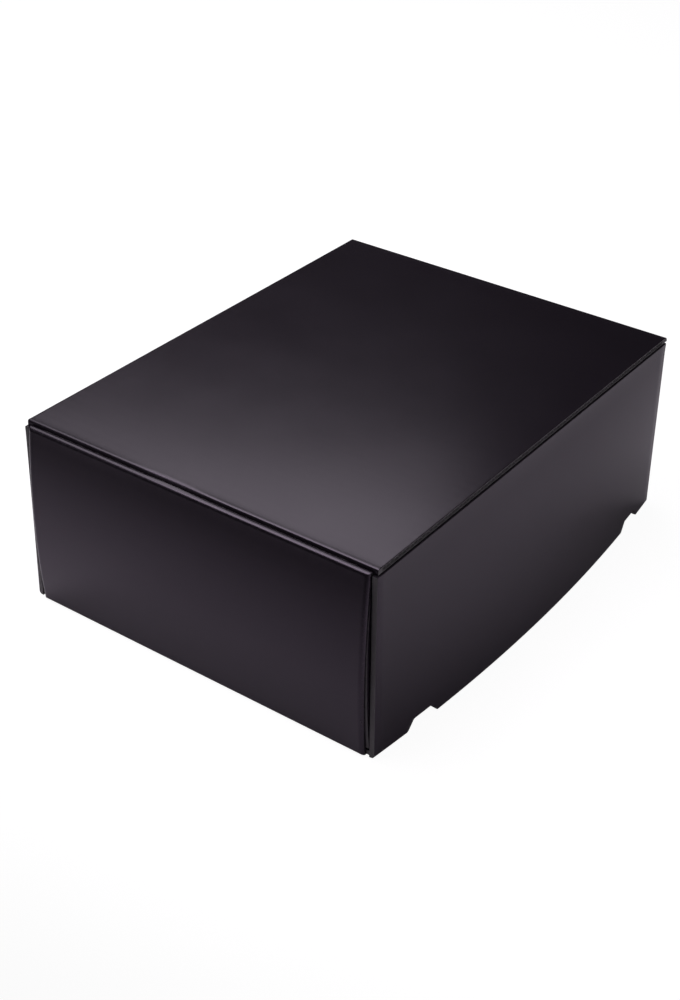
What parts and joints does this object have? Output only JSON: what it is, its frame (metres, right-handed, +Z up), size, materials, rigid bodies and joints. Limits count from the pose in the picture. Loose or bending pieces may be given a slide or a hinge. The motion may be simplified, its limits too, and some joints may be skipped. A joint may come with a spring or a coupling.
{
  "type": "folding mailer box",
  "caption": "Black corrugated roll-end mailer box, closed, with a hinged lid, a tuck flap and bowed double side walls that lock into the base.",
  "frame": {"origin": "on the floor under the middle of the box", "axes": "+Z up, +X to the right seen from the front, +Y from the front wall to the back wall"},
  "size_m": [0.2434, 0.299, 0.111],
  "materials": {
    "board": "matt film over black print"
  },
  "bodies": {
    "box": {"base_panel": "board", "front_wall": "board", "back_wall": "board", "right_outer_side_wall": "board", "left_outer_side_wall": "board", "right_side_spine": "board", "left_side_spine": "board", "right_inner_side_wall": "board", "left_inner_side_wall": "board", "right_front_corner_flap": "board", "left_front_corner_flap": "board", "right_back_corner_flap": "board", "left_back_corner_flap": "board"},
    "lid": {"lid_panel": "board"},
    "tuck_flap": {"lid_tuck_flap": "board"}
  },
  "joints": [
    {"name": "lid_hinge", "type": "hinge", "parent": "box", "child": "lid", "pos_m": [0, 0.1465, 0.108], "axis": [-1, 0, 0], "range_deg": [0, 180]},
    {"name": "tuck_flap_fold", "type": "hinge", "parent": "lid", "child": "tuck_flap", "pos_m": [0, -0.14, 0.108], "axis": [1, 0, 0], "range_deg": [0, 80]}
  ]
}
